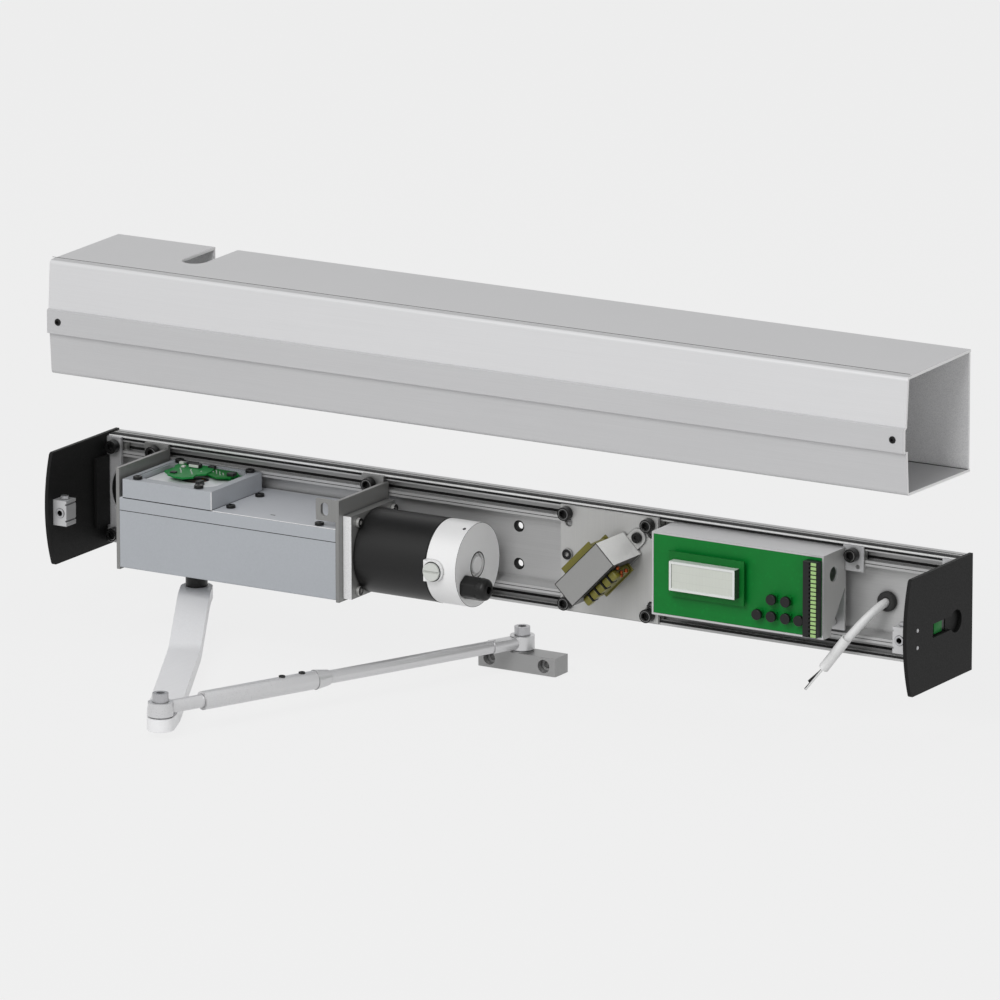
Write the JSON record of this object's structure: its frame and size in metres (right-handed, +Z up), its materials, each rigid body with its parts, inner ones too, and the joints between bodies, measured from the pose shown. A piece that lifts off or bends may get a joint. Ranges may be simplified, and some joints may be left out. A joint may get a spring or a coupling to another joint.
{
  "type": "automatic door operator",
  "caption": "Surface mounted swing door operator with its cover lifted off: rail, gear housing, motor, transformer, control unit and jointed arm to the door.",
  "frame": {"origin": "centre of the rail's wall face", "axes": "+X along the rail, +Y into the wall, +Z up"},
  "size_m": [0.736, 0.314, 0.2859],
  "materials": {
    "rail": "mill satin",
    "black_cap": "satin",
    "dark_steel": "black oxide",
    "screw_black": "black oxide",
    "zinc": "zinc plated",
    "cast": "painted cast",
    "can": "black satin",
    "bell": "bead blasted",
    "magnet": "ferrite",
    "bearing": "ground",
    "gear": "machined",
    "copper": "enamelled copper",
    "arm": "brushed",
    "disc": "satin",
    "pcb": "solder mask",
    "pcb_dark": "solder mask",
    "core": "laminated",
    "bobbin": "moulded",
    "tray": "zinc plated",
    "display": "moulded",
    "button": "moulded",
    "terminal": "moulded",
    "rubber": "matt",
    "sheath": "satin",
    "cores": "satin",
    "cover": "silver anodised"
  },
  "bodies": {
    "chassis": {"back_profile": "rail", "left_end_cap": "black_cap", "right_end_cap": "black_cap", "cap_brackets": "dark_steel", "cover_blocks": "black_cap", "block_fittings": "zinc", "slot_screws": "screw_black", "slot_nuts": "zinc", "gearbox_body": "cast", "gearbox_lid": "cast", "sensor_housing": "cast", "housing_screws": "screw_black", "gearbox_left_plate": "dark_steel", "gearbox_right_bracket": "dark_steel", "motor_flange": "bell", "motor_can": "can", "motor_magnets": "magnet", "motor_end_bell": "bell", "brush_caps": "bell", "motor_gland": "black_cap", "ball_bearings": "bearing", "gearhead": "gear", "sensor_boards": "pcb", "transformer_plate": "tray", "transformer_core": "core", "transformer_bobbin": "bobbin", "transformer_windings": "copper", "transformer_clamp": "zinc", "control_tray": "tray", "control_board": "pcb", "display_board": "pcb_dark", "display_module": "display", "terminal_strip": "terminal", "switch_board": "pcb", "mains_grommet": "rubber", "mains_cable": "sheath", "cable_sleeve": "sheath", "cable_cores": "cores"},
    "spindle": {"output_spindle": "gear", "bevel_wheel": "gear", "spindle_extension": "dark_steel", "sensor_disc": "disc", "main_arm": "arm", "arm_screw": "screw_black", "elbow_screw": "arm"},
    "pinion": {"bevel_pinion": "gear"},
    "rotor": {"motor_rotor": "copper"},
    "forearm_tube": {"forearm_tube": "arm", "clamp_screws": "screw_black"},
    "forearm_rod": {"forearm_rod": "arm"},
    "shoe": {"door_shoe": "arm", "shoe_screw": "arm"},
    "cover": {"cover": "cover"},
    "cover_back": {"cover_back": "cover"},
    "button_1": {"button_1": "button"},
    "button_2": {"button_2": "button"},
    "button_3": {"button_3": "button"},
    "button_4": {"button_4": "button"},
    "button_5": {"button_5": "button"},
    "button_6": {"button_6": "button"}
  },
  "joints": [
    {"name": "spindle_turn", "type": "hinge", "parent": "chassis", "child": "spindle", "pos_m": [-0.268, -0.045, -0.04], "axis": [0, 0, 1], "range_deg": [-70, 45]},
    {"name": "pinion_turn", "type": "hinge", "parent": "chassis", "child": "pinion", "pos_m": [-0.22, -0.045, -0.0075], "axis": [1, 0, 0], "range_deg": [-290, 190]},
    {"name": "rotor_turn", "type": "hinge", "parent": "chassis", "child": "rotor", "pos_m": [-0.08, -0.045, -0.0075], "axis": [1, 0, 0], "range_deg": [-1450, 950]},
    {"name": "elbow_turn", "type": "hinge", "parent": "spindle", "child": "forearm_tube", "pos_m": [-0.132, -0.304, -0.072], "axis": [0, 0, 1], "range_deg": [-100, 15]},
    {"name": "forearm_adjust", "type": "slide", "parent": "forearm_tube", "child": "forearm_rod", "axis": [0.3959, 0.9183, 0], "range_m": [-0.015, 0.04]},
    {"name": "shoe_turn", "type": "hinge", "parent": "forearm_rod", "child": "shoe", "pos_m": [-0.005, -0.0094, -0.08], "axis": [0, 0, 1], "range_deg": [-90, 90]},
    {"name": "cover_pull_off", "type": "slide", "parent": "chassis", "child": "cover", "axis": [0, -1, 0], "range_m": [0, 0.11]},
    {"name": "back_sheet_slide", "type": "slide", "parent": "cover", "child": "cover_back", "axis": [1, 0, 0], "range_m": [0, 0.1]},
    {"name": "button_1_press", "type": "slide", "parent": "chassis", "child": "button_1", "axis": [0, 1, 0], "range_m": [0, 0.0007], "stiffness_N_per_m": 400, "springref_m": -0.0006},
    {"name": "button_2_press", "type": "slide", "parent": "chassis", "child": "button_2", "axis": [0, 1, 0], "range_m": [0, 0.0007], "stiffness_N_per_m": 400, "springref_m": -0.0006},
    {"name": "button_3_press", "type": "slide", "parent": "chassis", "child": "button_3", "axis": [0, 1, 0], "range_m": [0, 0.0007], "stiffness_N_per_m": 400, "springref_m": -0.0006},
    {"name": "button_4_press", "type": "slide", "parent": "chassis", "child": "button_4", "axis": [0, 1, 0], "range_m": [0, 0.0007], "stiffness_N_per_m": 400, "springref_m": -0.0006},
    {"name": "button_5_press", "type": "slide", "parent": "chassis", "child": "button_5", "axis": [0, 1, 0], "range_m": [0, 0.0007], "stiffness_N_per_m": 400, "springref_m": -0.0006},
    {"name": "button_6_press", "type": "slide", "parent": "chassis", "child": "button_6", "axis": [0, 1, 0], "range_m": [0, 0.0007], "stiffness_N_per_m": 400, "springref_m": -0.0006}
  ],
  "couplings": [
    {"joint": "pinion_turn", "follows": "spindle_turn", "ratio": 4},
    {"joint": "rotor_turn", "follows": "spindle_turn", "ratio": 20}
  ]
}
